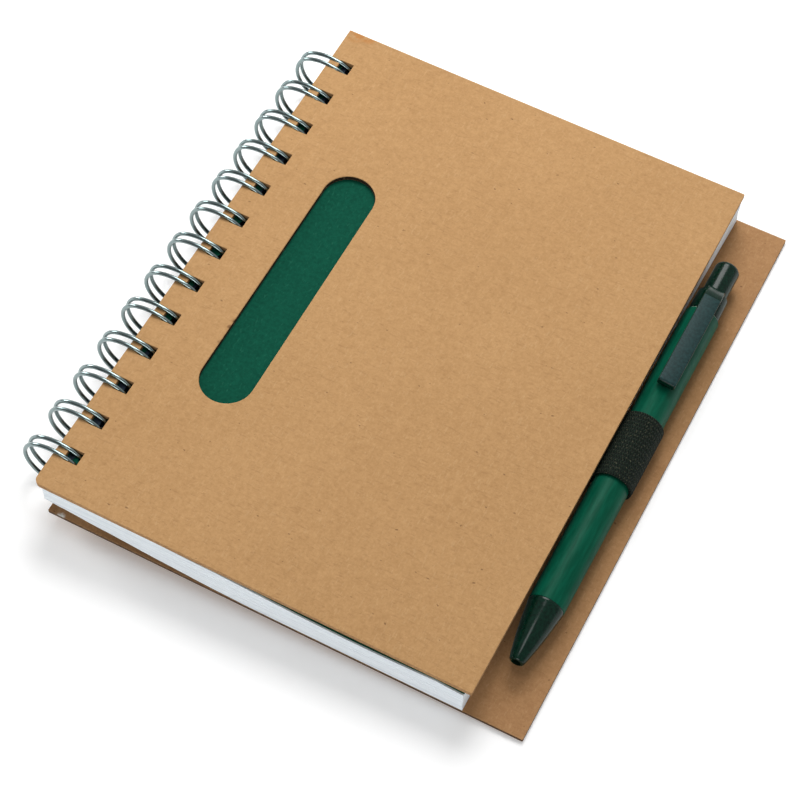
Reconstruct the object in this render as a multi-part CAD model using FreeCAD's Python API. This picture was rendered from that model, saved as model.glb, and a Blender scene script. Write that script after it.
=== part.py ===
import FreeCAD, Part
import math
import os

# A wire-bound notebook lying on its back cover, with a pen in an elastic loop.
#
# Book frame: the ring axis is the Y axis, X runs from the spine to the fore-edge, Z points up
# through the pages, and the near end of the spine is at Y = 0. Heights in the book are counted
# from the top face of the back cover, which is ring_height below the ring axis.
# The finished pieces are tipped by rest_tilt, so that the rings and the fore-edge of the back
# cover both touch the table, and moved so that the origin is under the middle of the whole.

Vec = FreeCAD.Vector
X_AXIS = Vec(1, 0, 0)
Y_AXIS = Vec(0, 1, 0)
Z_AXIS = Vec(0, 0, 1)
ORIGIN = Vec(0, 0, 0)

# Boards and paper
spine_length = 177.8
front_cover_thickness = 1.5
front_cover_overhang = 1.31
back_cover_thickness = 1.2
back_cover_beyond_loop = 3.94
page_width = 125.3
page_end_setback = 0.4
page_stack_thickness = 10.65
page_lift_at_spine = 5.2
page_lift_length = 82.0
flyleaf_thickness = 0.3
flyleaf_gap = 0.05
board_corner_radius = 0.3
worn_corner_radius = 2.0

# Window in the front cover
window_width = 15.5
window_length = 85.3
window_from_spine_edge = 21.2
window_from_near_edge = 44.5

# Binding wire: twin loops, one square hole for each
loop_pitch = 12.7
loop_row_end_margin = 12.0
loop_row_shift = -1.0
wire_diameter = 1.2
ring_gap_above_front_cover = 0.9
ring_gap_below_back_cover = 3.2
twin_spacing = 2.7
root_bend_radius = 1.3
wire_end_stub = 1.0
seam_height = 2.2
seam_gap = 0.5
hole_clearance = 0.155
hole_edge_margin = 3.15
back_hole_clearance = 0.12

# Elastic pen loop
loop_band_thickness = 0.9
loop_band_width = 22.0
loop_band_from_near_edge = 74.6
loop_band_clearance = 0.1
loop_gap_to_pages = 0.3
loop_foot_width = 8.4

# Pen, measured along its own axis from the nose
pen_tip_from_near_edge = 15.9
barrel_diameter = 10.2
barrel_wall = 1.1
barrel_length = 102.6
glue_clearance = 0.05
nose_length = 18.0
nose_tip_wall = 0.9
nose_tip_rounding = 0.5
nose_bulge = 0.25
nose_opening_clearance = 0.15
nose_opening_length = 5.0
nose_spigot_length = 9.0
collar_length = 8.0
collar_wall = 0.83
collar_bore_clearance = 0.07
collar_spigot_length = 15.6
collar_lip_length = 1.5
collar_lip_step = 0.2
collar_lip_above_barrel = 0.9
sleeve_wall = 0.75
button_diameter = 7.4
button_reach = 11.5
button_rounding = 1.5
button_travel = 5.0
button_stop_clearance = 0.5
button_slide_clearance = 0.05
button_stem_wall = 0.7
button_flange_length = 1.9
button_end_wall = 3.0
running_clearance = 0.1
clip_width = 5.2
clip_length = 32.1
clip_thickness = 1.6
clip_gap_to_barrel = 1.3
clip_root_length = 7.0
clip_root_sink = 1.0
clip_step_above_collar = 0.6
clip_slope_length = 5.4
clip_foot_length = 3.2
clip_foot_slope = 0.8
clip_foot_clearance = 0.1
clip_end_break = 0.5
clip_edge_rounding = 0.45
clip_roll = 8.0

# Inside the pen
refill_tube_diameter = 3.0
refill_tube_wall = 0.5
refill_recess = 2.5
refill_point_length = 8.3
refill_point_cone = 4.0
refill_point_diameter = 2.3
refill_point_lip = 0.05
refill_plug_length = 3.5
refill_ball_diameter = 1.0
refill_ball_stand_out = 0.3
refill_ball_seat_clearance = 0.02
refill_fit_clearance = 0.02
refill_ear_length = 1.0
cam_length = 7.4
cam_body_wall = 0.75
cam_rib_width = 1.0
cam_rib_length = 5.0
cam_rib_count = 4
cam_cup_depth = 3.0
cam_cup_clearance = 0.05
spring_wire_diameter = 0.4
spring_bore_clearance = 0.25
spring_side_clearance = 0.3
spring_room_length = 21.0
spring_pitch = 2.4

# How far a cutting tool passes the faces that it cuts, and how close two places count as one
cut_overrun = 1.0
same_place = 0.01

# Heights in the book, and the ring that holds it together
wire_radius = wire_diameter / 2
front_cover_bottom = page_stack_thickness + flyleaf_thickness + flyleaf_gap
front_cover_top = front_cover_bottom + front_cover_thickness
ring_inner_diameter = (front_cover_top + back_cover_thickness
                       + ring_gap_above_front_cover + ring_gap_below_back_cover)
ring_inner_radius = ring_inner_diameter / 2
ring_radius = ring_inner_radius + wire_radius
ring_outer_radius = ring_radius + wire_radius
ring_height = front_cover_top + ring_gap_above_front_cover - ring_inner_radius
seam_angle = math.asin((seam_height - ring_height) / ring_radius)

loop_count = int((spine_length - 2 * loop_row_end_margin) / loop_pitch) + 1
loop_row_length = (loop_count - 1) * loop_pitch
first_loop = (spine_length - loop_row_length) / 2 + loop_row_shift
page_start = page_end_setback
page_length = spine_length - 2 * page_end_setback


def ring_x(height, radius):
    """X where a circle about the ring axis crosses a height above the back cover's top face."""
    rise = height - ring_height
    return math.sqrt(radius * radius - rise * rise)


def wire_strip(low, high):
    """The strip of X that the wire covers while it passes between two heights."""
    widest = min(max(ring_height, low), high)
    nearest = min(ring_x(low, ring_inner_radius), ring_x(high, ring_inner_radius))
    return nearest, ring_x(widest, ring_outer_radius)


front_strip = wire_strip(front_cover_bottom, front_cover_top)
page_strip = wire_strip(page_lift_at_spine, page_stack_thickness + flyleaf_thickness)
back_strip = wire_strip(-back_cover_thickness, 0)
hole_width = max(high - low for low, high in (front_strip, page_strip, back_strip)) + 2 * hole_clearance
hole_length = twin_spacing + wire_diameter + 2 * hole_clearance

front_hole_x = sum(front_strip) / 2
page_hole_x = sum(page_strip) / 2
back_hole_x = back_strip[0] - back_hole_clearance + hole_width / 2

edge_to_hole = hole_edge_margin + hole_width / 2
front_cover_edge = front_hole_x - edge_to_hole
page_edge = page_hole_x - edge_to_hole
back_cover_edge = back_hole_x - edge_to_hole
page_fore_edge = page_edge + page_width
front_fore_edge = page_fore_edge + front_cover_overhang

# The pen's radii, from the barrel inwards and from the ink tube outwards
barrel_radius = barrel_diameter / 2
barrel_bore_radius = barrel_radius - barrel_wall
spigot_radius = barrel_bore_radius - glue_clearance
sleeve_bore_radius = spigot_radius - sleeve_wall
lip_bore_radius = sleeve_bore_radius - collar_lip_step
button_radius = button_diameter / 2
button_flange_radius = sleeve_bore_radius - button_slide_clearance
button_stem_radius = lip_bore_radius - running_clearance
button_bore_radius = button_stem_radius - button_stem_wall
collar_bore_radius = button_radius + collar_bore_clearance
collar_radius = collar_bore_radius + collar_wall
refill_tube_radius = refill_tube_diameter / 2
refill_bore_radius = refill_tube_radius - refill_tube_wall
refill_point_radius = refill_point_diameter / 2
refill_ball_radius = refill_ball_diameter / 2
cam_cup_radius = refill_tube_radius + cam_cup_clearance
cam_body_radius = cam_cup_radius + cam_body_wall
cam_rib_radius = sleeve_bore_radius - running_clearance
spring_wire_radius = spring_wire_diameter / 2
spring_mean_radius = refill_tube_radius + spring_bore_clearance + spring_wire_radius
spring_outer_radius = spring_mean_radius + spring_wire_radius
nose_bore_radius = spring_outer_radius + spring_side_clearance
nose_opening_radius = refill_point_radius + nose_opening_clearance
nose_tip_radius = nose_opening_radius + nose_tip_wall

# Where the pen and its loop lie on the back cover
loop_inner_radius = barrel_radius + loop_band_clearance
loop_outer_radius = loop_inner_radius + loop_band_thickness
pen_x = page_fore_edge + loop_gap_to_pages + loop_outer_radius
pen_height = loop_outer_radius
back_fore_edge = pen_x + loop_outer_radius + back_cover_beyond_loop

# Places along the pen, counted from the nose
collar_start = nose_length + barrel_length
collar_end = collar_start + collar_length
sleeve_start = collar_start - collar_spigot_length
lip_start = collar_start + collar_lip_above_barrel
lip_end = lip_start + collar_lip_length
button_cap_start = lip_end + button_travel + button_stop_clearance
button_end = collar_end + button_reach
flange_end = lip_start - running_clearance
flange_start = flange_end - button_flange_length
cam_end = flange_start - running_clearance
cam_start = cam_end - cam_length
refill_ear_start = nose_opening_length + spring_room_length
refill_tube_start = refill_recess + refill_point_length
refill_tube_end = cam_start + cam_cup_depth

# Rest on a table: the book tips about the ring axis until the back cover's fore-edge is as low
# as the underside of the rings.
fore_edge_drop = ring_height + back_cover_thickness
fore_edge_reach = math.hypot(back_fore_edge, fore_edge_drop)
rest_tilt = math.asin(ring_outer_radius / fore_edge_reach) - math.atan2(fore_edge_drop, back_fore_edge)
fore_edge_x = back_fore_edge * math.cos(rest_tilt) - ring_height * math.sin(rest_tilt)
base_middle = Vec((fore_edge_x - ring_outer_radius) / 2, spine_length / 2, -ring_outer_radius)


def loop_centres():
    return [first_loop + number * loop_pitch for number in range(loop_count)]


def box(x_low, x_high, y_low, y_high, low, high):
    """A box between heights that are counted from the back cover's top face."""
    corner = Vec(x_low, y_low, low - ring_height)
    return Part.makeBox(x_high - x_low, y_high - y_low, high - low, corner)


def punch(sheet, centre_x, low, high):
    """Cut the row of square holes that the binding wire runs through."""
    half_x = hole_width / 2
    half_y = hole_length / 2
    tools = []
    for centre_y in loop_centres():
        tools.append(box(centre_x - half_x, centre_x + half_x, centre_y - half_y, centre_y + half_y,
                         low - cut_overrun, high + cut_overrun))
    return sheet.cut(Part.makeCompound(tools))


def upright_edges_at(shape, x, y=None):
    """Edges that stand along Z at a given X, and at a given Y if there is one."""
    found = []
    for edge in shape.Edges:
        bounds = edge.BoundBox
        on_x = abs(bounds.Center.x - x) < same_place and bounds.XLength < same_place
        on_y = bounds.YLength < same_place and (y is None or abs(bounds.Center.y - y) < same_place)
        if on_x and on_y and bounds.ZLength > same_place:
            found.append(edge)
    return found


def square_board(x_low, x_high, low, thickness):
    """A plain cover board and its four upright corner edges."""
    board = box(x_low, x_high, 0, spine_length, low, low + thickness)
    corners = upright_edges_at(board, x_low) + upright_edges_at(board, x_high)
    return board, corners


def make_front_cover():
    """Kraft board with a long round-ended window and the row of holes."""
    board, corners = square_board(front_cover_edge, front_fore_edge,
                                  front_cover_bottom, front_cover_thickness)
    worn = upright_edges_at(board, front_cover_edge, 0)
    crisp = [edge for edge in corners if not any(edge.isSame(other) for other in worn)]
    board = board.makeFillet(board_corner_radius, crisp)
    worn = upright_edges_at(board, front_cover_edge, 0)
    board = board.makeFillet(worn_corner_radius, worn)
    radius = window_width / 2
    left = front_cover_edge + window_from_spine_edge
    near = window_from_near_edge
    far = near + window_length
    low = front_cover_bottom - cut_overrun
    high = front_cover_top + cut_overrun
    window = box(left, left + window_width, near + radius, far - radius, low, high)
    for centre_y in (near + radius, far - radius):
        centre = Vec(left + radius, centre_y, low - ring_height)
        window = window.fuse(Part.makeCylinder(radius, high - low, centre, Z_AXIS))
    board = board.cut(window.removeSplitter())
    return punch(board, front_hole_x, front_cover_bottom, front_cover_top)


def make_back_cover():
    """Plain kraft board, wider than the front one, so that it carries the pen."""
    board, corners = square_board(back_cover_edge, back_fore_edge,
                                  -back_cover_thickness, back_cover_thickness)
    board = board.makeFillet(board_corner_radius, corners)
    return punch(board, back_hole_x, -back_cover_thickness, 0)


def make_flyleaf():
    """The coloured first sheet, which shows through the window."""
    low = page_stack_thickness
    high = page_stack_thickness + flyleaf_thickness
    sheet = box(page_edge, page_fore_edge, page_start, page_start + page_length, low, high)
    return punch(sheet, page_hole_x, low, high)


def make_page_block():
    """All the pages as one stack. The ring lifts their spine side off the back cover."""
    touch_x = page_edge + page_lift_length
    lift = page_lift_at_spine
    curve_radius = (page_lift_length ** 2 + lift ** 2) / (2 * lift)
    half_angle = math.atan2(page_lift_length, curve_radius - lift) / 2
    middle_x = touch_x - curve_radius * math.sin(half_angle)
    middle_height = curve_radius * (1 - math.cos(half_angle))
    base = -ring_height

    def point(x, height):
        return Vec(x, page_start, base + height)

    top_left = point(page_edge, page_stack_thickness)
    top_right = point(page_fore_edge, page_stack_thickness)
    bottom_right = point(page_fore_edge, 0)
    touch = point(touch_x, 0)
    lifted = point(page_edge, lift)
    edges = [
        Part.makeLine(top_left, top_right),
        Part.makeLine(top_right, bottom_right),
        Part.makeLine(bottom_right, touch),
        Part.Arc(touch, point(middle_x, middle_height), lifted).toShape(),
        Part.makeLine(lifted, top_left),
    ]
    stack = Part.Face(Part.Wire(edges)).extrude(Vec(0, page_length, 0))
    return punch(stack, page_hole_x, 0, page_stack_thickness)


def ring_point(angle, y):
    return Vec(ring_radius * math.cos(angle), y, ring_radius * math.sin(angle))


def ring_tangent(angle):
    """Direction along the ring, the way the wire runs from its root to its tip."""
    return Vec(math.sin(angle), 0, -math.cos(angle))


def arc_edge(start, middle, end):
    return Part.Arc(start, middle, end).toShape()


def make_binding_loop(number):
    """One hairpin of the binding wire, rolled up into a twin ring, with its half of each link.

    The wire leaves the straight link through a bend, goes down, round and up, turns back in a
    round tip just above the row of links, and runs beside itself to the link on the other side.
    """
    half = twin_spacing / 2
    bend = root_bend_radius
    half_link = (loop_pitch - twin_spacing) / 2 - bend
    root = seam_angle - bend / ring_radius
    tip_distance = wire_diameter + seam_gap + half
    tip = seam_angle + tip_distance / ring_radius - 2 * math.pi
    halfway = (root + tip) / 2
    down = ring_tangent(root)
    tip_direction = ring_tangent(tip)
    diagonal = 1 / math.sqrt(2)

    centre = loop_centres()[number]
    near_length = wire_end_stub if number == 0 else half_link
    far_length = wire_end_stub if number == loop_count - 1 else half_link
    near = ring_point(root, centre - half)
    far = ring_point(root, centre + half)
    near_link = near - down * bend - Y_AXIS * bend
    far_link = far - down * bend + Y_AXIS * bend
    near_bend_middle = near - Y_AXIS * bend + (Y_AXIS - down) * (bend * diagonal)
    far_bend_middle = far + Y_AXIS * bend - (Y_AXIS + down) * (bend * diagonal)
    near_tip = ring_point(tip, centre - half)
    far_tip = ring_point(tip, centre + half)
    apex = ring_point(tip, centre) + tip_direction * half
    start = near_link - Y_AXIS * near_length
    path = Part.Wire([
        Part.makeLine(start, near_link),
        arc_edge(near_link, near_bend_middle, near),
        arc_edge(near, ring_point(halfway, centre - half), near_tip),
        arc_edge(near_tip, apex, far_tip),
        arc_edge(far_tip, ring_point(halfway, centre + half), far),
        arc_edge(far, far_bend_middle, far_link),
        Part.makeLine(far_link, far_link + Y_AXIS * far_length),
    ])
    section = Part.Wire([Part.makeCircle(wire_radius, start, Y_AXIS)])
    return path.makePipeShell([section], True, True)


def about_pen_axis(outline):
    """Turn a closed outline of (distance along the pen, radius) points round the pen axis."""
    points = [Vec(0, along, radius) for along, radius in outline]
    face = Part.Face(Part.makePolygon(points + points[:1]))
    return face.revolve(ORIGIN, Y_AXIS, 360)


def rod(radius, start, end):
    return Part.makeCylinder(radius, end - start, Vec(0, start, 0), Y_AXIS)


def pen_tube(radius, bore_radius, start, end):
    return rod(radius, start, end).cut(rod(bore_radius, start, end))


def make_nose_cone():
    """Moulded nose with a slightly full taper, glued into the barrel by its spigot."""
    spigot_end = nose_length + nose_spigot_length
    middle = Vec(0, nose_length / 2, (nose_tip_radius + barrel_radius) / 2 + nose_bulge)
    outline = [
        arc_edge(Vec(0, 0, nose_tip_radius), middle, Vec(0, nose_length, barrel_radius)),
        Part.makePolygon([
            Vec(0, nose_length, barrel_radius),
            Vec(0, nose_length, spigot_radius),
            Vec(0, spigot_end, spigot_radius),
            Vec(0, spigot_end, nose_bore_radius),
            Vec(0, nose_opening_length, nose_bore_radius),
            Vec(0, nose_opening_length, nose_opening_radius),
            Vec(0, 0, nose_opening_radius),
            Vec(0, 0, nose_tip_radius),
        ]),
    ]
    edges = [edge for piece in outline for edge in piece.Edges]
    cone = Part.Face(Part.Wire(edges)).revolve(ORIGIN, Y_AXIS, 360)
    rim = []
    for edge in cone.Edges:
        bounds = edge.BoundBox
        at_tip = bounds.YLength < same_place and abs(bounds.Center.y) < same_place
        if at_tip and abs(bounds.XLength - 2 * nose_tip_radius) < same_place:
            rim.append(edge)
    return cone.makeFillet(nose_tip_rounding, rim)


def make_barrel():
    """Rolled paper tube."""
    return pen_tube(barrel_radius, barrel_bore_radius, nose_length, collar_start)


def make_clip():
    """The flat clip that grows out of the collar, before it is turned to its side."""
    underside = barrel_radius + clip_gap_to_barrel
    top = underside + clip_thickness
    root_height = collar_radius - clip_root_sink
    root_start = collar_end - clip_root_length
    end = collar_end - clip_slope_length - clip_length
    foot_end = end + clip_foot_length
    foot_height = barrel_radius + clip_foot_clearance
    outline = [
        (end, foot_height + clip_end_break),
        (end + clip_end_break, foot_height),
        (foot_end - clip_foot_slope, foot_height),
        (foot_end, underside),
        (root_start, underside),
        (root_start, root_height),
        (collar_end, root_height),
        (collar_end, collar_radius + clip_step_above_collar),
        (collar_end - clip_slope_length, top),
        (end + clip_end_break, top),
        (end, top - clip_end_break),
    ]
    points = [Vec(-clip_width / 2, along, height) for along, height in outline]
    clip = Part.Face(Part.makePolygon(points + points[:1])).extrude(X_AXIS * clip_width)
    rounded = []
    for edge in clip.Edges:
        bounds = edge.BoundBox
        if bounds.XLength < same_place and bounds.ZMin > top - same_place:
            rounded.append(edge)
    return clip.makeFillet(clip_edge_rounding, rounded)


def make_clip_collar():
    """Collar, clip and mechanism sleeve as one moulding."""
    collar = rod(collar_radius, collar_start, collar_end)
    spigot = rod(spigot_radius, sleeve_start, collar_start)
    body = collar.fuse(spigot).fuse(make_clip())
    body = body.cut(rod(collar_bore_radius, lip_end, collar_end))
    body = body.cut(rod(lip_bore_radius, lip_start, lip_end))
    body = body.cut(rod(sleeve_bore_radius, sleeve_start, lip_start))
    body = body.removeSplitter()
    body.rotate(ORIGIN, Y_AXIS, clip_roll)
    return body


def make_push_button():
    """Hollow button with a stem, and a flange that keeps it behind the collar's lip."""
    cap = rod(button_radius, button_cap_start, button_end)
    rim = [edge for edge in cap.Edges if abs(edge.BoundBox.YMin - button_end) < same_place]
    cap = cap.makeFillet(button_rounding, rim)
    stem = rod(button_stem_radius, flange_start, button_cap_start)
    flange = rod(button_flange_radius, flange_start, flange_end)
    core = rod(button_bore_radius, flange_start, button_end - button_end_wall)
    return cap.fuse(stem).fuse(flange).cut(core).removeSplitter()


def make_cam():
    """Ribbed cam between the button and the refill, with a cup for the refill's end."""
    body = rod(cam_body_radius, cam_start, cam_end)
    rib_start = cam_end - cam_rib_length
    outer = rod(cam_rib_radius, rib_start, cam_end)
    for number in range(cam_rib_count):
        blade = Part.makeBox(cam_rib_width, cam_rib_length, cam_rib_radius,
                             Vec(-cam_rib_width / 2, rib_start, 0))
        blade.rotate(ORIGIN, Y_AXIS, number * 360 / cam_rib_count)
        body = body.fuse(blade.common(outer))
    cup = rod(cam_cup_radius, cam_start, cam_start + cam_cup_depth)
    return body.cut(cup).removeSplitter()


def make_refill_tube():
    """Ink tube with the raised ring that the spring pushes against."""
    tube = rod(refill_tube_radius, refill_tube_start, refill_tube_end)
    tube = tube.fuse(rod(spring_outer_radius, refill_ear_start, refill_ear_start + refill_ear_length))
    return tube.cut(rod(refill_bore_radius, refill_tube_start, refill_tube_end)).removeSplitter()


def refill_ball_centre():
    return Vec(0, refill_recess + refill_ball_radius, 0)


def make_refill_point():
    """Turned metal point with a socket for the ball and a plug in the tube."""
    front = refill_recess + refill_ball_stand_out
    plug_radius = refill_bore_radius - refill_fit_clearance
    point = about_pen_axis([
        (front, 0),
        (front, refill_ball_radius + refill_point_lip),
        (refill_recess + refill_point_cone, refill_point_radius),
        (refill_tube_start, refill_point_radius),
        (refill_tube_start, plug_radius),
        (refill_tube_start + refill_plug_length, plug_radius),
        (refill_tube_start + refill_plug_length, 0),
    ])
    seat = Part.makeSphere(refill_ball_radius + refill_ball_seat_clearance, refill_ball_centre())
    return point.cut(seat)


def make_refill_ball():
    return Part.makeSphere(refill_ball_radius, refill_ball_centre())


def make_spring():
    """Coil spring round the refill, between the nose and the ring on the ink tube.

    Each half turn is half a circle in a leaning plane. The planes lean one way and the other in
    turn, so the half circles run on smoothly into one another.
    """
    start = nose_opening_length + spring_wire_radius + glue_clearance
    end = refill_ear_start - spring_wire_radius - glue_clearance
    half_turns = round((end - start) / (spring_pitch / 2))
    rise = (end - start) / half_turns
    arc_radius = math.hypot(spring_mean_radius, rise / 2)
    arcs = []
    for number in range(half_turns):
        side = 1 if number % 2 == 0 else -1
        low = start + number * rise
        arcs.append(arc_edge(Vec(side * spring_mean_radius, low, 0),
                             Vec(0, low + rise / 2, side * arc_radius),
                             Vec(-side * spring_mean_radius, low + rise, 0)))
    section = Part.Wire([Part.makeCircle(spring_wire_radius, Vec(spring_mean_radius, start, 0), Z_AXIS)])
    return Part.Wire(arcs).makePipeShell([section], True, True)


def make_pen_loop():
    """Elastic band round the barrel, glued down flat on the back cover under the pen."""
    near = loop_band_from_near_edge
    sleeve = Part.makeCylinder(loop_outer_radius, loop_band_width, Vec(0, near, 0), Y_AXIS)
    foot = Part.makeBox(loop_foot_width, loop_band_width, loop_outer_radius,
                        Vec(-loop_foot_width / 2, near, -loop_outer_radius))
    tunnel = Part.makeCylinder(loop_inner_radius, loop_band_width, Vec(0, near, 0), Y_AXIS)
    band = sleeve.fuse(foot).cut(tunnel).removeSplitter()
    band.translate(Vec(pen_x, 0, pen_height - ring_height))
    return band


def on_pen_axis(shape):
    """Put a piece that was made about its own axis where the pen lies."""
    shape.translate(Vec(pen_x, pen_tip_from_near_edge, pen_height - ring_height))
    return shape


def at_rest(shape):
    """Tip the book frame to its rest on the table and put the origin under the middle."""
    shape.rotate(ORIGIN, Y_AXIS, math.degrees(rest_tilt))
    shape.translate(-base_middle)
    return shape


pieces = {
    "front_cover": make_front_cover(),
    "flyleaf": make_flyleaf(),
    "page_block": make_page_block(),
    "back_cover": make_back_cover(),
    "pen_loop": make_pen_loop(),
    "pen_nose_cone": on_pen_axis(make_nose_cone()),
    "pen_barrel": on_pen_axis(make_barrel()),
    "pen_clip_collar": on_pen_axis(make_clip_collar()),
    "pen_push_button": on_pen_axis(make_push_button()),
    "pen_cam": on_pen_axis(make_cam()),
    "pen_spring": on_pen_axis(make_spring()),
    "refill_tube": on_pen_axis(make_refill_tube()),
    "refill_point": on_pen_axis(make_refill_point()),
    "refill_ball": on_pen_axis(make_refill_ball()),
}
for number in range(loop_count):
    pieces["binding_loop_%02d" % (number + 1)] = make_binding_loop(number)

os.makedirs("parts", exist_ok=True)
for name, piece in pieces.items():
    solid = at_rest(piece)
    if solid.ShapeType == "Compound" and len(solid.Solids) == 1:
        solid = solid.Solids[0]
    solid.exportStep("parts/" + name + ".step")
    bounds = solid.BoundBox
    print(name, solid.ShapeType, "valid", solid.isValid(), "volume", round(solid.Volume, 2),
          "box", [round(value, 2) for value in (bounds.XMin, bounds.YMin, bounds.ZMin,
                                                bounds.XMax, bounds.YMax, bounds.ZMax)])
print("ring radius", round(ring_radius, 3), "ring height", round(ring_height, 3),
      "holes", round(hole_width, 3), "by", round(hole_length, 3),
      "front cover width", round(front_fore_edge - front_cover_edge, 2),
      "back cover width", round(back_fore_edge - back_cover_edge, 2))
print("rest tilt", round(math.degrees(rest_tilt), 3), "ring axis at",
      [round(value, 3) for value in (-base_middle.x, -base_middle.y, -base_middle.z)])
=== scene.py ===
# %% [markdown]
# # A wire-bound notebook with a pen
# The book lies on its back cover. Two kraft boards hold a stack of pages, a green first sheet shows
# through a long window, thirteen twin rings bind the spine, and an elastic loop holds a click pen.
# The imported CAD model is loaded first. It fixes where every piece is, and which pieces move together.

# %% Load the frame
import bpy
import bmesh
import math
from mathutils import Matrix, Vector


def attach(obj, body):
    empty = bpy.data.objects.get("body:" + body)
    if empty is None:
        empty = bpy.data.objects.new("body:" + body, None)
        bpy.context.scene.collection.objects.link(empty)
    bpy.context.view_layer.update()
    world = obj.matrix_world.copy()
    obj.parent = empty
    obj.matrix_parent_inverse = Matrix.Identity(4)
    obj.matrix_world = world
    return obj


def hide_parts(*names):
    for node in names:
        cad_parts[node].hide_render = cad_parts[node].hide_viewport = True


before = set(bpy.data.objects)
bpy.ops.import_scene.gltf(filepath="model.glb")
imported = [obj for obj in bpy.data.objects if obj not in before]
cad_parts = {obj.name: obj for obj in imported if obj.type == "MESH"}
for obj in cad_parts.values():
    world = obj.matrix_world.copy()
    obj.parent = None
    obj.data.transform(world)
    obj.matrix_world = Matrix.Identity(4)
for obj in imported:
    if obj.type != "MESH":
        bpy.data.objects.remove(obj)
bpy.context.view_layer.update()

# %% [markdown]
# ## Working in the book's own frame
# A notebook is easiest to think of flat: X runs from the ring axis to the fore-edge, Y runs along the
# spine from the near end, and Z is height. On the table the book leans by less than two degrees,
# because its rings stand lower than the cover. So each piece is made flat and in millimetres, and one
# matrix puts it on the table in metres, which is what Blender and the frame use.

# %% The matrix from book to table
LEAN = math.radians(1.745)
MILLIMETRE = 0.001
AXIS_START = (-0.067132, -0.0889, 0.0101)
BOOK = (Matrix.Translation(AXIS_START) @ Matrix.Rotation(LEAN, 4, "Y")
        @ Matrix.Scale(MILLIMETRE, 4))
SPINE = 177.8
RING_HEIGHT = 4.5
COVER_TOP = 12.5


def at_height(height):
    """Z in the book's frame of a height above the back cover's top face."""
    return height - RING_HEIGHT


print("the front cover's near spine corner is at", BOOK @ Vector((0.54, 0, at_height(COVER_TOP))))

# %% [markdown]
# ## Shader sums that read like sums
# Procedural finishes are mostly arithmetic on noise. Wrapping a socket in a small class lets Python's
# own operators add the Math nodes, so that "1 - speck * 0.4" is written just like that. Every other
# node comes from one method, which takes its type, its settings and its sockets.

# %% A socket with operators
class Socket:
    def __init__(self, finish, socket):
        self.finish = finish
        self.socket = socket

    def math(self, operation, first, second):
        return self.finish.node("Math", {"operation": operation}, {0: first, 1: second})

    def __add__(self, other):
        return self.math("ADD", self, other)

    def __radd__(self, other):
        return self.math("ADD", other, self)

    def __sub__(self, other):
        return self.math("SUBTRACT", self, other)

    def __rsub__(self, other):
        return self.math("SUBTRACT", other, self)

    def __mul__(self, other):
        return self.math("MULTIPLY", self, other)

    def __rmul__(self, other):
        return self.math("MULTIPLY", other, self)

    def between(self, low, high):
        """0 below low, 1 above high, and a smooth step from one to the other."""
        return self.finish.node("MapRange", {"interpolation_type": "SMOOTHSTEP"},
                                {"Value": self, "From Min": low, "From Max": high})


# %% A finish with one method for nodes
class Finish:
    def __init__(self, name, **uniform):
        self.material = bpy.data.materials.new(name)
        self.material.use_nodes = True
        self.tree = self.material.node_tree
        self.shader = self.tree.nodes["Principled BSDF"]
        for socket, value in uniform.items():
            self.shader.inputs[socket.replace("_", " ")].default_value = value

    def node(self, kind, settings=None, sockets=None, out=0):
        made = self.tree.nodes.new("ShaderNode" + kind)
        for setting, value in (settings or {}).items():
            setattr(made, setting, value)
        for name, value in (sockets or {}).items():
            self.feed(made.inputs[name], value)
        return Socket(self, made.outputs[out])

    def feed(self, socket, value):
        if isinstance(value, Socket):
            self.tree.links.new(value.socket, socket)
        else:
            socket.default_value = value

    def stretched(self, x, y, z, source="Object"):
        """The surface's own coordinates, stretched by a factor along each axis."""
        here = self.node("TexCoord", out=source)
        return self.node("Mapping", {}, {"Vector": here, "Scale": (x, y, z)})

    def noise(self, where, scale, detail=2.0, roughness=0.5):
        return self.node("TexNoise", {}, {"Vector": where, "Scale": scale, "Detail": detail,
                                          "Roughness": roughness})

    def along(self, axis, source="Object"):
        """One coordinate of the surface as a number."""
        return self.node("SeparateXYZ", {}, {"Vector": self.node("TexCoord", out=source)}, out=axis)

    def near_to(self, x, y, height, reach):
        """1 at a place in the book, fading to 0 a few millimetres away from it."""
        here = self.node("TexCoord", out="Object")
        away = self.node("VectorMath", {"operation": "DISTANCE"},
                         {0: here, 1: BOOK @ Vector((x, y, at_height(height)))}, out="Value")
        return 1 - away.between(reach * 0.4 * MILLIMETRE, reach * MILLIMETRE)

    def mixed(self, factor, first, second):
        return self.node("Mix", {"data_type": "RGBA"}, {0: factor, 6: first, 7: second}, out=2)

    def wear(self, colour=None, roughness=None, height=None, depth=0.00002):
        """Feed what changes over the surface: colour, roughness, and a height that becomes bumps."""
        if colour is not None:
            self.feed(self.shader.inputs["Base Color"], colour)
        if roughness is not None:
            self.feed(self.shader.inputs["Roughness"], roughness)
        if height is not None:
            bumps = self.node("Bump", {}, {"Height": height, "Distance": depth, "Strength": 1.0})
            self.feed(self.shader.inputs["Normal"], bumps)
        return self.material


def paint(red, green, blue):
    """A colour as it is read off a screen, 0 to 255, made linear for the shader."""
    channels = []
    for value in (red, green, blue):
        value = value / 255
        channels.append(value / 12.92 if value <= 0.04045 else ((value + 0.055) / 1.055) ** 2.4)
    return (*channels, 1.0)


print("kraft is", [round(value, 3) for value in paint(196, 153, 103)], "as linear light")
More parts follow.
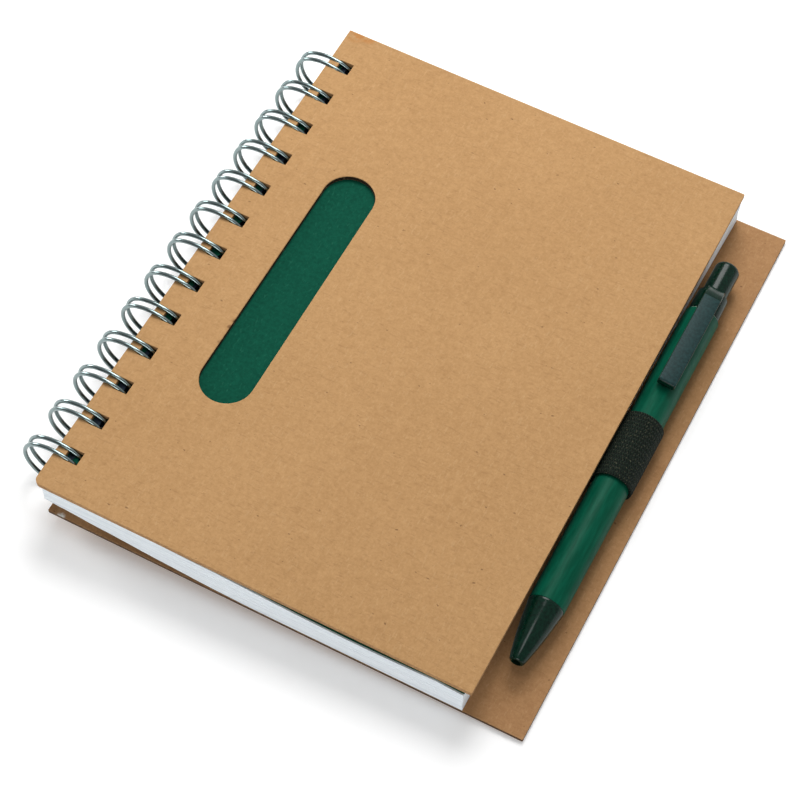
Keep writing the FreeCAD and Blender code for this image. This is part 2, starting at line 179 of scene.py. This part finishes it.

# %% [markdown]
# ## Kraft board
# Kraft board is pressed from unbleached fibres. Seen close, it has soft clouds, short paler and darker
# fibres that lie every way, and a few dark flecks. Noise gives these: broad for the clouds, finer for
# the mottle and the grain, and stretched along X or Y for the fibres. The back board's cut edges are
# darker, as painted shade, and the window's wall is darker still, as painted shade. Marks are small
# places of another colour: a stain at the far corner, a frayed lip at the window, and a white worn
# spot under the near corner.

# %% Kraft finishes
def kraft_finish(name, light, dark, fleck, marks=()):
    board = Finish(name, Roughness=0.85, Specular_IOR_Level=0.2)
    plain = board.stretched(1, 1, 1)
    clouds = board.noise(plain, 30, 3).between(0.3, 0.7)
    mottle = board.noise(plain, 480, 3, 0.6)
    grain = board.noise(plain, 1300, 3, 0.7)
    across = board.noise(board.stretched(420, 2000, 700), 1, 2).between(0.56, 0.72)
    lengthwise = board.noise(board.stretched(2000, 420, 700), 1, 2).between(0.56, 0.72)
    flecks = board.noise(board.stretched(560, 900, 700), 1, 1).between(0.765, 0.8)
    tone = board.mixed(clouds * 0.2 + (mottle - 0.5) * 1.2 + (grain - 0.5) * 1.9 + 0.42, light, dark)
    tone = board.mixed(across * 0.22, tone, paint(134, 96, 60))
    tone = board.mixed(lengthwise * 0.2, tone, paint(206, 170, 126))
    tone = board.mixed(flecks * 0.6, tone, fleck)
    for place, reach, colour, strength in marks:
        spot = board.near_to(*place, reach) * board.noise(plain, 500, 2).between(0.35, 0.55) * strength
        tone = board.mixed(spot, tone, colour)
    return board.wear(colour=tone, height=grain + across * 0.5 + lengthwise * 0.5, depth=0.00004)


LIP = COVER_TOP - 0.2
front_marks = [((3.0, 177.6, COVER_TOP), 4.5, paint(176, 112, 48), 0.6),
               ((7.0, 177.8, COVER_TOP), 3.0, paint(176, 112, 50), 0.7),
               ((21.7, 70.0, LIP), 1.1, paint(96, 66, 40), 0.8),
               ((21.6, 67.4, LIP), 1.0, paint(110, 76, 46), 0.8),
               ((21.6, 62.0, LIP), 1.1, paint(96, 66, 40), 0.8)]
back_marks = [((7.6, 0.1, 0.0), 1.5, paint(236, 234, 226), 1.0),
              ((4.2, 1.0, 0.0), 2.4, paint(120, 84, 52), 0.6)]
front_kraft = kraft_finish("front kraft", paint(189, 148, 101), paint(171, 131, 86), paint(98, 68, 44),
                           front_marks)
back_kraft = kraft_finish("back kraft", paint(175, 133, 91), paint(158, 117, 78), paint(92, 62, 40),
                          back_marks)
# The back board's cut edges: a dark kraft that is painted shade.
back_edge_painted_shade = kraft_finish("back edge painted shade kraft", paint(92, 68, 46), paint(64, 46, 31), paint(50, 36, 26))
edge_kraft = kraft_finish("edge kraft", paint(180, 140, 96), paint(150, 113, 76), paint(96, 68, 44))
# The window's wall: a near-black kraft that is painted shade.
window_wall_painted_shade = kraft_finish("window wall painted shade kraft", paint(62, 46, 32), paint(34, 26, 19), paint(24, 18, 13))
print("kraft finishes:", front_kraft.name, back_kraft.name, back_edge_painted_shade.name)

# %% [markdown]
# ## A board from the frame
# The frame already has each board with its holes, window and corners, so it is copied rather than
# made again. The copy is loose triangles: its doubles are merged and its flat faces joined. Then its
# sharp edges get a small bevel, because no cut board is knife-sharp, and planes cut it into cells so
# that it can bend. A real cover that sits on rings bows a little at both ends of the spine.

# %% Helpers for boards
WINDOW_X = (21.0, 38.0)
WINDOW_Y = (44.0, 130.5)


def bow_at(x, y, most):
    """How far a sheet lifts near the two ends of the spine, which fades towards the fore-edge."""
    fore_edge = 130
    return most * (2 * y / SPINE - 1) ** 2 * max(0.0, 1 - x / fore_edge) ** 2


def in_window(place):
    return WINDOW_X[0] < place.x < WINDOW_X[1] and WINDOW_Y[0] < place.y < WINDOW_Y[1]


def copy_of_node(name):
    shape = bmesh.new()
    shape.from_mesh(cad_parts[name].data)
    bmesh.ops.transform(shape, matrix=BOOK.inverted(), verts=shape.verts)
    bmesh.ops.remove_doubles(shape, verts=shape.verts, dist=0.002)
    bmesh.ops.dissolve_limit(shape, angle_limit=math.radians(1), verts=shape.verts, edges=shape.edges)
    return shape


def round_edges(shape, size, sharper_than=40, segments=2, only_window=False):
    """Bevel the sharp edges, or only those round the top of the window."""
    sharp = [edge for edge in shape.edges
             if edge.is_manifold and edge.calc_face_angle() > math.radians(sharper_than)]
    if only_window:
        sharp = [edge for edge in sharp if in_window((edge.verts[0].co + edge.verts[1].co) / 2)
                 and all(corner.co.z > at_height(COVER_TOP - 0.1) for corner in edge.verts)]
    if not sharp:
        return
    bmesh.ops.bevel(shape, geom=sharp, offset=size, offset_type="OFFSET", segments=segments,
                    profile=0.5, affect="EDGES", clamp_overlap=True, material=-1)


def cut_into_cells(shape, step_x=6.5, step_y=6.6):
    low = min(vertex.co.x for vertex in shape.verts)
    high = max(vertex.co.x for vertex in shape.verts)
    places = [(Vector((low + step_x * n, 0, 0)), Vector((1, 0, 0)))
              for n in range(1, int((high - low) / step_x))]
    places += [(Vector((0, step_y * n, 0)), Vector((0, 1, 0))) for n in range(1, int(SPINE / step_y))]
    for place, normal in places:
        bmesh.ops.bisect_plane(shape, geom=shape.verts[:] + shape.edges[:] + shape.faces[:],
                               plane_co=place, plane_no=normal, dist=0.0005)


# %% [markdown]
# Every piece ends the same way: its mesh goes to the table, it is given its finishes, it rides on the
# body that carries it, and it hides the node it replaces.

# %% Finish a piece
def open_edges(mesh):
    """How many edges have no face on one side, which is none on a closed piece."""
    uses = {}
    for polygon in mesh.polygons:
        for key in polygon.edge_keys:
            uses[key] = uses.get(key, 0) + 1
    return sum(1 for count in uses.values() if count != 2)


def finish_piece(name, shape, materials, body, replaced=(), smooth_below=None):
    bmesh.ops.transform(shape, matrix=BOOK, verts=shape.verts)
    for face in shape.faces:
        face.smooth = smooth_below is not None
    if smooth_below is not None:
        for edge in shape.edges:
            if edge.is_manifold and edge.calc_face_angle(0) > math.radians(smooth_below):
                edge.smooth = False
    mesh = bpy.data.meshes.new(name)
    shape.to_mesh(mesh)
    shape.free()
    piece = bpy.data.objects.new(name, mesh)
    bpy.context.scene.collection.objects.link(piece)
    for material in materials:
        mesh.materials.append(material)
    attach(piece, body)
    if replaced:
        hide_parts(*replaced)
    print(name, len(mesh.polygons), "faces,", open_edges(mesh), "open edges")
    return piece


# %% The two covers
def make_board(node, materials, body, bow):
    """A board whose finishes are, in order, for its faces, its edges and its window's wall."""
    shape = copy_of_node(node)
    round_edges(shape, 0.3, segments=3, only_window=True)
    round_edges(shape, 0.1)
    cut_into_cells(shape)
    # Steep faces take the edge finish, which on the back board is painted shade; in the window they take
    # the wall's painted shade.
    for face in shape.faces:
        if abs(face.normal.z) > 0.35:
            face.material_index = 0
        elif in_window(face.calc_center_median()):
            face.material_index = len(materials) - 1
        else:
            face.material_index = 1
    for vertex in shape.verts:
        vertex.co.z += bow_at(vertex.co.x, vertex.co.y, bow)
    finish_piece(node + "_board", shape, materials, body, [node])


PAGES_BOW = 0.6
make_board("front_cover", [front_kraft, edge_kraft, window_wall_painted_shade], "front_board", PAGES_BOW)
make_board("back_cover", [back_kraft, back_edge_painted_shade], "back_board", 0.35)

# %% [markdown]
# ## The green sheet and the pages
# The first sheet is thin, coloured paper with a faint fibre relief. The pages are one block here, as
# they are only ever seen shut, but its sides must read as hundreds of leaves. Planes cut the sides
# into thin layers, each layer is pushed in or out by a hair, and the finish adds finer lines. Little
# light gets into the punched holes, so their walls have a dark finish of their own, which is painted
# shade.

# %% Paper finishes
green = Finish("green paper", Roughness=0.75, Specular_IOR_Level=0.06)
green_plain = green.stretched(1, 1, 1)
green_clouds = green.noise(green_plain, 1000, 4, 0.7)
green_fibre = green.noise(green.stretched(1500, 520, 900), 1, 3)
green_tone = green.mixed(green_clouds.between(0.25, 0.75), paint(3, 66, 50), paint(9, 80, 61))
green_tone = green.mixed(green_fibre.between(0.58, 0.74) * 0.35, green_tone, paint(38, 106, 84))
green_paper = green.wear(colour=green_tone, height=green_clouds + green_fibre * 0.6, depth=0.00006)

leaves = Finish("white leaves", Roughness=0.75, Specular_IOR_Level=0.3)
leaf_lines = leaves.noise(leaves.stretched(14, 14, 9000), 1, 2, 0.6)
leaf_groups = leaves.noise(leaves.stretched(9, 9, 1500), 1, 2, 0.6)
leaf_tone = leaves.mixed(leaf_lines.between(0.35, 0.75) * 0.5, paint(243, 249, 253), paint(200, 212, 222))
leaf_tone = leaves.mixed(leaf_groups.between(0.5, 0.75) * 0.4, leaf_tone, paint(188, 198, 210))
white_leaves = leaves.wear(colour=leaf_tone, height=leaf_lines, depth=0.00008)

# The walls of the punched holes are white paper, painted dark here as painted shade.
holes = Finish("hole wall painted shade", Roughness=0.85, Specular_IOR_Level=0.1)
hole_lines = holes.noise(holes.stretched(40, 40, 9000), 1, 2, 0.6)
hole_painted_shade_tone = holes.mixed(hole_lines.between(0.3, 0.7), paint(58, 70, 86), paint(20, 28, 40))
hole_wall_painted_shade = holes.wear(colour=hole_painted_shade_tone, height=hole_lines, depth=0.00008)
print("paper finishes:", green_paper.name, white_leaves.name, hole_wall_painted_shade.name)


# %% The green first sheet
def sag_at(x, y):
    """The top sheets dip where nothing holds them, near the near end and at its corner."""
    middle, reach, depth = 94, 40, 1.9
    corner_x, corner_reach, corner_depth = 128, 8, 1.5
    across = max(0.0, 1 - ((x - middle) / reach) ** 2)
    corner = max(0.0, 1 - math.hypot(x - corner_x, y) / corner_reach)
    return -depth * across ** 1.5 * max(0.0, 1 - y / reach) ** 2 - corner_depth * corner ** 2


def skew_at(x, y):
    """The leaves have slipped on the rings: in at the near end of the fore-edge, out at the far end."""
    starts_at, reach = 100, 28
    return (1.7 * (y / SPINE) ** 2.5 - 0.8) * max(0.0, (x - starts_at) / reach)


HOLE_EDGE, OPEN_HOLE_EDGE = 5.978, 3.9
sheet_shape = copy_of_node("flyleaf")
cut_into_cells(sheet_shape)
for vertex in sheet_shape.verts:
    x, y = vertex.co.x, vertex.co.y
    if abs(x - HOLE_EDGE) < 0.05:
        vertex.co.x = OPEN_HOLE_EDGE
    vertex.co.x += skew_at(x, y)
    vertex.co.z += bow_at(x, y, PAGES_BOW) + sag_at(x, y)
finish_piece("green_first_sheet", sheet_shape, [green_paper], "book_block", ["flyleaf"])

# %% The page block
LAYER = 0.36
STACK = 10.65
NEAR_FACE, FAR_FACE, FORE_FACE = 0.45, 177.35, 128.1
pages = copy_of_node("page_block")
cut_into_cells(pages)
for level in range(1, int(STACK / LAYER)):
    bmesh.ops.bisect_plane(pages, geom=pages.verts[:] + pages.edges[:] + pages.faces[:],
                           plane_co=(0, 0, at_height(level * LAYER)), plane_no=(0, 0, 1), dist=0.0005)
for vertex in pages.verts:
    x, y = vertex.co.x, vertex.co.y
    height = vertex.co.z + RING_HEIGHT
    level = round(height / LAYER)
    nudge = 0.07 * math.sin(level * 12.9898) + 0.05 * math.sin(level * 4.7 + 1)
    vertex.co.x += skew_at(x, y)
    if x > FORE_FACE:
        vertex.co.x += nudge
    if y < NEAR_FACE:
        vertex.co.y += nudge + 0.1 - 0.5 * min(1.0, max(0.0, (x - 20) / 30))
    if y > FAR_FACE:
        vertex.co.y += nudge - 0.1
    lift = height / STACK
    vertex.co.z += (bow_at(x, y, PAGES_BOW) + sag_at(x, y)) * lift ** 2
# Faces round the holes take the painted shade of the hole walls.
for face in pages.faces:
    middle = face.calc_center_median()
    painted_shade_near_holes = 3.5 < middle.x < 10.6 and 1 < middle.y < 177
    face.material_index = 1 if painted_shade_near_holes else 0
finish_piece("leaves", pages, [white_leaves, hole_wall_painted_shade], "book_block",
             ["page_block"])

# %% [markdown]
# ## The wire rings
# Twin-ring wire is one long wire bent into hairpins, each rolled up through its holes. It is made the
# way a turtle would walk it: a small circle is the wire's end, and each spin or extrude carries that
# end on. So the wire's thickness is true all the way, however it turns. The tops of the rings are
# then pressed down by up to a millimetre, more at the far end, as they are in the photograph.

# %% Bright wire finish
wire = Finish("bright wire", Metallic=1.0, Base_Color=paint(132, 147, 147))
wire_grime = wire.noise(wire.stretched(1, 1, 1), 900, 2)
bright_wire = wire.wear(roughness=wire_grime.between(0.2, 0.8) * 0.08 + 0.16)

# %% Walk the wire
RING = 9.5
WIRE = 0.6
HALF_TWIN = 1.35
BEND = 1.3
STUB = 1.0
WIRE_SIDES = 16
SEAM = math.asin((2.2 - RING_HEIGHT) / RING)
ROOT = SEAM - BEND / RING
TIP = SEAM + (2 * WIRE + 0.5 + HALF_TWIN) / RING - 2 * math.pi
PITCH = 12.7
LINK = PITCH - 2 * HALF_TWIN - 2 * BEND
LOOPS = [11.7 + PITCH * number for number in range(13)]
Y = Vector((0, 1, 0))


def outwards(angle):
    return Vector((math.cos(angle), 0, math.sin(angle)))


def downwards(angle):
    return Vector((math.sin(angle), 0, -math.cos(angle)))


def turn(shape, end, centre, axis, angle, steps):
    made = bmesh.ops.spin(shape, geom=end, cent=centre, axis=axis, angle=angle, steps=steps,
                          use_duplicate=False)
    return [part for part in made["geom_last"] if isinstance(part, bmesh.types.BMEdge)]


def go_on(shape, end, step):
    made = bmesh.ops.extrude_edge_only(shape, edges=end)["geom"]
    corners = [part for part in made if isinstance(part, bmesh.types.BMVert)]
    bmesh.ops.translate(shape, verts=corners, vec=step)
    return [part for part in made if isinstance(part, bmesh.types.BMEdge)
            and all(corner in corners for corner in part.verts)]


coil = bmesh.new()
start = RING * outwards(ROOT) + Y * (LOOPS[0] - HALF_TWIN - BEND - STUB) - downwards(ROOT) * BEND
bmesh.ops.create_circle(coil, segments=WIRE_SIDES, radius=WIRE,
                        matrix=Matrix.Translation(start) @ Matrix.Rotation(math.pi / 2, 4, "X"))
end = coil.edges[:]
end = go_on(coil, end, Y * STUB)
for middle in LOOPS:
    near = middle - HALF_TWIN
    far = middle + HALF_TWIN
    end = turn(coil, end, RING * outwards(ROOT) + Y * (near - BEND), -outwards(ROOT), math.pi / 2, 6)
    end = turn(coil, end, Y * near, Y, ROOT - TIP, 72)
    end = turn(coil, end, RING * outwards(TIP) + Y * middle, outwards(TIP), math.pi, 10)
    end = turn(coil, end, Y * far, -Y, ROOT - TIP, 72)
    end = turn(coil, end, RING * outwards(ROOT) + Y * (far + BEND), -outwards(ROOT), math.pi / 2, 6)
    end = go_on(coil, end, Y * (LINK if middle != LOOPS[-1] else STUB))
bmesh.ops.holes_fill(coil, edges=coil.edges, sides=WIRE_SIDES)
bmesh.ops.recalc_face_normals(coil, faces=coil.faces)
PRESSED_FROM = 6.0
for vertex in coil.verts:
    x, y, z = vertex.co
    above_the_covers = max(0.0, RING * z / math.hypot(x, z) - PRESSED_FROM) / (RING - PRESSED_FROM)
    vertex.co.z -= (0.5 + 0.5 * y / SPINE) * above_the_covers ** 1.3
finish_piece("binding_wire", coil, [bright_wire], "book_block",
             ["binding_loop_%02d" % (n + 1) for n in range(13)], smooth_below=50)
print("one wire makes", len(LOOPS), "loops,", PITCH, "mm apart")

# %% [markdown]
# ## The pen
# Nearly all of a pen is turned work. A profile, drawn as distance along the pen and radius, is spun
# once round the pen's axis, which closes the shape when the last step is merged with the first. The
# barrel is rolled paper, so its far rim shows a pale ring of raw paper. The clip is a flat tongue, and
# its flat top has a paler plastic than the rest of the moulding, which is a painted sheen.

# %% Pen finishes
barrel_stuff = Finish("barrel paper", Specular_IOR_Level=0.05)
barrel_grain = barrel_stuff.noise(barrel_stuff.stretched(900, 110, 900), 1, 3, 0.6)
barrel_clouds = barrel_stuff.noise(barrel_stuff.stretched(1, 1, 1), 300, 3)
barrel_tone = barrel_stuff.mixed(barrel_grain.between(0.3, 0.75), paint(3, 70, 51), paint(9, 84, 63))
barrel_paper = barrel_stuff.wear(colour=barrel_tone, roughness=barrel_clouds * 0.2 + 0.3,
                                 height=barrel_grain + barrel_clouds, depth=0.00003)

raw_rim = Finish("raw paper rim", Roughness=0.85)
rim_fibre = raw_rim.noise(raw_rim.stretched(1, 1, 1), 2500, 2)
raw_paper = raw_rim.wear(colour=raw_rim.mixed(rim_fibre, paint(198, 204, 190), paint(150, 168, 150)),
                         height=rim_fibre, depth=0.00005)


def plastic_finish(name, light, dark, shine, relief):
    plastic = Finish(name, Specular_IOR_Level=0.2)
    mottle = plastic.noise(plastic.stretched(1, 1, 1), 1400, 3, 0.6)
    scuff = plastic.noise(plastic.stretched(300, 900, 500), 1, 3)
    tone = plastic.mixed(mottle.between(0.3, 0.7), dark, light)
    return plastic.wear(colour=tone, roughness=scuff * 0.16 + shine, height=mottle, depth=relief)


dark_plastic = plastic_finish("dark plastic", paint(8, 42, 30), paint(2, 26, 18), 0.1, 0.000004)
# A paler copy of the dark plastic for the clip's flat top: a painted sheen.
clip_top_painted_sheen = plastic_finish("clip top painted sheen plastic", paint(26, 58, 58), paint(12, 40, 40), 0.44, 0.00006)
cam_plastic = plastic_finish("cam plastic", paint(220, 220, 214), paint(204, 204, 198), 0.3, 0.00001)
ink_plastic = plastic_finish("ink tube plastic", paint(226, 230, 232), paint(206, 212, 218), 0.25, 0.00001)
print("pen finishes:", barrel_paper.name, raw_paper.name, dark_plastic.name, clip_top_painted_sheen.name)


# %% Metal inside the pen
def metal_finish(name, colour, shine):
    metal = Finish(name, Metallic=1.0, Base_Color=colour)
    turning = metal.noise(metal.stretched(400, 5000, 400), 1, 2)
    return metal.wear(roughness=turning * 0.15 + shine, height=turning, depth=0.000004)


spring_steel = metal_finish("spring steel", paint(196, 198, 200), 0.2)
point_brass = metal_finish("point brass", paint(206, 184, 132), 0.2)
ball_steel = metal_finish("ball steel", paint(210, 212, 214), 0.05)
for node, material in {"pen_push_button": dark_plastic, "pen_cam": cam_plastic,
                       "pen_spring": spring_steel, "refill_tube": ink_plastic,
                       "refill_point": point_brass, "refill_ball": ball_steel}.items():
    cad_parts[node].data.materials.clear()
    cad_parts[node].data.materials.append(material)
    print(node, "is finished with", material.name)

# %% Turn the pen's outside parts
PEN = Vector((134.529, 15.9, at_height(6.1)))


def lathe(profile, steps=64):
    """Spin a closed profile of (distance along the pen, radius) once round the pen's axis."""
    shape = bmesh.new()
    corners = [shape.verts.new(PEN + Vector((radius, along, 0))) for along, radius in profile]
    outline = [shape.edges.new((corners[n - 1], corners[n])) for n in range(len(corners))]
    bmesh.ops.spin(shape, geom=corners + outline, cent=PEN, axis=(0, 1, 0), angle=2 * math.pi,
                   steps=steps, use_merge=True, use_duplicate=False)
    bmesh.ops.remove_doubles(shape, verts=shape.verts, dist=0.0005)
    bmesh.ops.recalc_face_normals(shape, faces=shape.faces)
    return shape


def arc(centre_along, centre_radius, size, first, last, count=6):
    """Points of a rounding in a profile, between two angles in degrees."""
    found = []
    for n in range(count + 1):
        angle = math.radians(first + (last - first) * n / count)
        found.append((centre_along + size * math.cos(angle), centre_radius + size * math.sin(angle)))
    return found


taper = [(0.45 + 15.9 * part, 2.2 + 2.66 * part + 0.25 * math.sin(math.pi * part))
         for part in [n / 10 for n in range(1, 11)]]
nose_profile = [(5.0, 1.3)] + arc(0.9, 1.3, 0.9, 180, 100, 6) + taper
nose_profile += [(17.2, 5.02), (17.8, 5.08), (18.0, 5.0), (18.0, 3.95), (27.0, 3.95), (27.0, 2.45),
                 (5.0, 2.45)]
finish_piece("pen_nose", lathe(nose_profile), [dark_plastic], "back_board",
             ["pen_nose_cone"], smooth_below=40)

barrel_shape = lathe([(18.0, 4.0), (18.0, 5.0), (18.1, 5.1), (120.35, 5.1), (120.6, 4.9), (120.6, 4.0)])
for face in barrel_shape.faces:
    face.material_index = 1 if face.calc_center_median().y - PEN.y > 120.3 else 0
finish_piece("pen_barrel_tube", barrel_shape, [barrel_paper, raw_paper], "back_board",
             ["pen_barrel"], smooth_below=40)

# %% The collar and its clip
collar = lathe([(105.0, 3.95), (120.65, 3.95)] + arc(120.95, 4.3, 0.3, 180, 90, 3)
               + arc(128.2, 4.2, 0.4, 90, 0, 4) + [(128.6, 3.77), (123.0, 3.77), (123.0, 3.0),
                                                  (121.5, 3.0), (121.5, 3.2), (105.0, 3.2)])
clip_outline = [(91.1, 5.7), (91.6, 5.2), (93.5, 5.2), (94.3, 6.4), (121.6, 6.4), (121.6, 3.9),
                (128.6, 3.9), (128.6, 4.8), (127.2, 6.0), (124.8, 7.3), (123.2, 7.9), (122.2, 8.0),
                (91.6, 8.0), (91.1, 7.5)]
clip = bmesh.new()
corners = [clip.verts.new(PEN + Vector((-2.6, along, height))) for along, height in clip_outline]
side = clip.faces.new(corners)
swept = bmesh.ops.extrude_face_region(clip, geom=[side])["geom"]
bmesh.ops.translate(clip, verts=[part for part in swept if isinstance(part, bmesh.types.BMVert)],
                    vec=(5.2, 0, 0))
bmesh.ops.recalc_face_normals(clip, faces=clip.faces)
round_edges(clip, 0.35, sharper_than=20, segments=3)
# The clip's flat top takes the paler plastic, which is a painted sheen.
for face in clip.faces:
    flat = face.calc_center_median().y - PEN.y < 122.9 and face.normal.z > 0.8
    face.material_index = 1 if flat else 0
clip_mesh = bpy.data.meshes.new("clip")
clip.to_mesh(clip_mesh)
clip.free()
collar.from_mesh(clip_mesh)
ROLL = math.radians(8)
bmesh.ops.rotate(collar, cent=PEN, matrix=Matrix.Rotation(ROLL, 3, "Y"), verts=collar.verts)
finish_piece("pen_collar_and_clip", collar, [dark_plastic, clip_top_painted_sheen], "back_board",
             ["pen_clip_collar"], smooth_below=35)

# %% [markdown]
# ## The elastic loop
# The loop is a band of knitted elastic, pulled tight round the barrel and glued down under it. It
# starts as a circle that is carried along the pen in short steps, wider and narrower in turn, which
# makes its ribs. Solidify then gives the band its thickness. Knit is a pattern that follows the
# surface, so it reads a UV map laid out in millimetres along and round the band.

# %% Elastic finish
elastic = Finish("knitted elastic", Roughness=0.9, Specular_IOR_Level=0.2)
ROW, STITCH = 1.3, 0.75
knit_u = elastic.along("X", "UV")
knit_v = elastic.along("Y", "UV")
stitch_rows = elastic.node("Math", {"operation": "SINE"}, {0: knit_v * (2 * math.pi / ROW)})
stitch_steps = knit_u * (2 * math.pi / STITCH) + stitch_rows * 1.4
stitches = elastic.node("Math", {"operation": "SINE"}, {0: stitch_steps})
thread = elastic.noise(elastic.stretched(1.6, 1.6, 1, "UV"), 1, 3, 0.7)
knit_tone_and_groove_shade = elastic.mixed(stitches.between(-0.8, 0.9), paint(7, 15, 11), paint(24, 38, 27))
# The rows darken where their grooves sink: painted shade in the grooves between rows.
knit_tone_and_groove_shade = elastic.mixed(stitch_rows.between(0.35, 1.0) * 0.55, knit_tone_and_groove_shade, paint(4, 8, 6))
knit_tone_and_groove_shade = elastic.mixed(thread.between(0.56, 0.7) * 0.5, knit_tone_and_groove_shade, paint(112, 108, 84))
knit = elastic.wear(colour=knit_tone_and_groove_shade, height=stitches * 0.5 + thread - stitch_rows * 0.5, depth=0.00015)

# %% Make the band
BAND_START, BAND_WIDTH, BAND_RADIUS = 74.6, 22.0, 6.02
band = bmesh.new()
bmesh.ops.create_circle(band, segments=64, radius=1.0, matrix=Matrix.Rotation(math.pi / 2, 4, "X"))
end = band.edges[:]
STEPS = 102
for step in range(STEPS):
    end = go_on(band, end, Y * (BAND_WIDTH / STEPS))
uv = band.loops.layers.uv.new("band")
for face in band.faces:
    centre = face.calc_center_median()
    middle_angle = math.atan2(centre.z, centre.x)
    for loop in face.loops:
        angle = math.atan2(loop.vert.co.z, loop.vert.co.x)
        angle += 2 * math.pi * round((middle_angle - angle) / (2 * math.pi))
        loop[uv].uv = (angle * 6.0, loop.vert.co.y)
for vertex in band.verts:
    along = vertex.co.y
    rib = 0.045 * math.cos(along * 2 * math.pi / 1.294)
    edge = min(along, BAND_WIDTH - along)
    rounding = -0.25 * max(0.0, 1 - edge / 0.6) ** 2
    radius = BAND_RADIUS + rib + rounding
    x, z = vertex.co.x * radius, vertex.co.z * radius
    if z < -3 and abs(x) < 4.4:
        z = -6.05
    vertex.co = Vector((PEN.x + x, BAND_START + along, PEN.z + z))
bmesh.ops.recalc_face_normals(band, faces=band.faces)
bmesh.ops.solidify(band, geom=band.faces[:], thickness=0.8)
pen_loop = finish_piece("elastic_band", band, [knit], "back_board", ["pen_loop"],
                        smooth_below=60)

# %% [markdown]
# ## Floor, light and camera
# The photograph has a white ground and a soft light from above, a little from the far left. The
# front cover keeps the light off the left of the pen, and the flat clip mirrors it, on top of the
# painted sheen of its top. One round lamp gives this. Three weak ones draw the bright line along the
# rings, the streak on the pen's cone, and the pages' near edges. The world fills the shadows: it is
# paler at the far side and dimmer behind the camera, so that bright wire has something dark to mirror.
# The camera is a long lens that looks down on the book from its near right corner.

# %% Floor and light
floor_shape = bmesh.new()
bmesh.ops.create_grid(floor_shape, x_segments=2, y_segments=2, size=3.0)
floor_mesh = bpy.data.meshes.new("floor")
floor_shape.to_mesh(floor_mesh)
floor_shape.free()
floor = bpy.data.objects.new("floor", floor_mesh)
bpy.context.scene.collection.objects.link(floor)
ground = Finish("pale ground", Roughness=0.9, Base_Color=(0.95, 0.95, 0.95, 1),
                Emission_Strength=0.12)
floor_mesh.materials.append(ground.material)

world = bpy.data.worlds.new("studio")
bpy.context.scene.world = world
world.use_nodes = True
sky = world.node_tree.nodes["Background"]
sky.inputs["Color"].default_value = (1, 1, 1, 1)
direction = world.node_tree.nodes.new("ShaderNodeTexCoord")
split = world.node_tree.nodes.new("ShaderNodeSeparateXYZ")
ramp = world.node_tree.nodes.new("ShaderNodeMapRange")
for name, value in {"From Min": -0.8, "From Max": 0.8, "To Min": 0.14, "To Max": 0.6}.items():
    ramp.inputs[name].default_value = value
world.node_tree.links.new(direction.outputs["Generated"], split.inputs["Vector"])
world.node_tree.links.new(split.outputs["Y"], ramp.inputs["Value"])
world.node_tree.links.new(ramp.outputs["Result"], sky.inputs["Strength"])


def area_light(name, place, target, size, power):
    lamp = bpy.data.lights.new(name, "AREA")
    lamp.shape = "DISK"
    lamp.size = size
    lamp.energy = power
    holder = bpy.data.objects.new(name, lamp)
    holder.location = place
    holder.rotation_euler = (Vector(target) - Vector(place)).to_track_quat("-Z", "Y").to_euler()
    bpy.context.scene.collection.objects.link(holder)
    print(name, "is", round((Vector(target) - Vector(place)).length, 2), "m away")


area_light("key", (-0.09, 0.38, 0.53), (0, 0, 0), 0.4, 3.1)
area_light("left", (-0.75, 0.1, 0.26), (0, 0, 0), 0.26, 2.1)
area_light("top", (-0.02, -0.03, 0.75), (0, 0, 0), 0.2, 0.6)
area_light("fill", (0.15, -0.9, 0.30), (0, 0, 0), 0.5, 2.4)

# %% Camera
lens = bpy.data.cameras.new("camera")
lens.lens = 100.86
lens.sensor_width = 36.0
lens.clip_start = 0.01
camera = bpy.data.objects.new("camera", lens)
camera.location = (0.1575, -0.3123, 0.5254)
camera.rotation_euler = Vector((-0.2484, 0.4815, -0.8405)).to_track_quat("-Z", "Y").to_euler()
bpy.context.scene.collection.objects.link(camera)
bpy.context.scene.camera = camera
bpy.context.scene.view_settings.view_transform = "Standard"
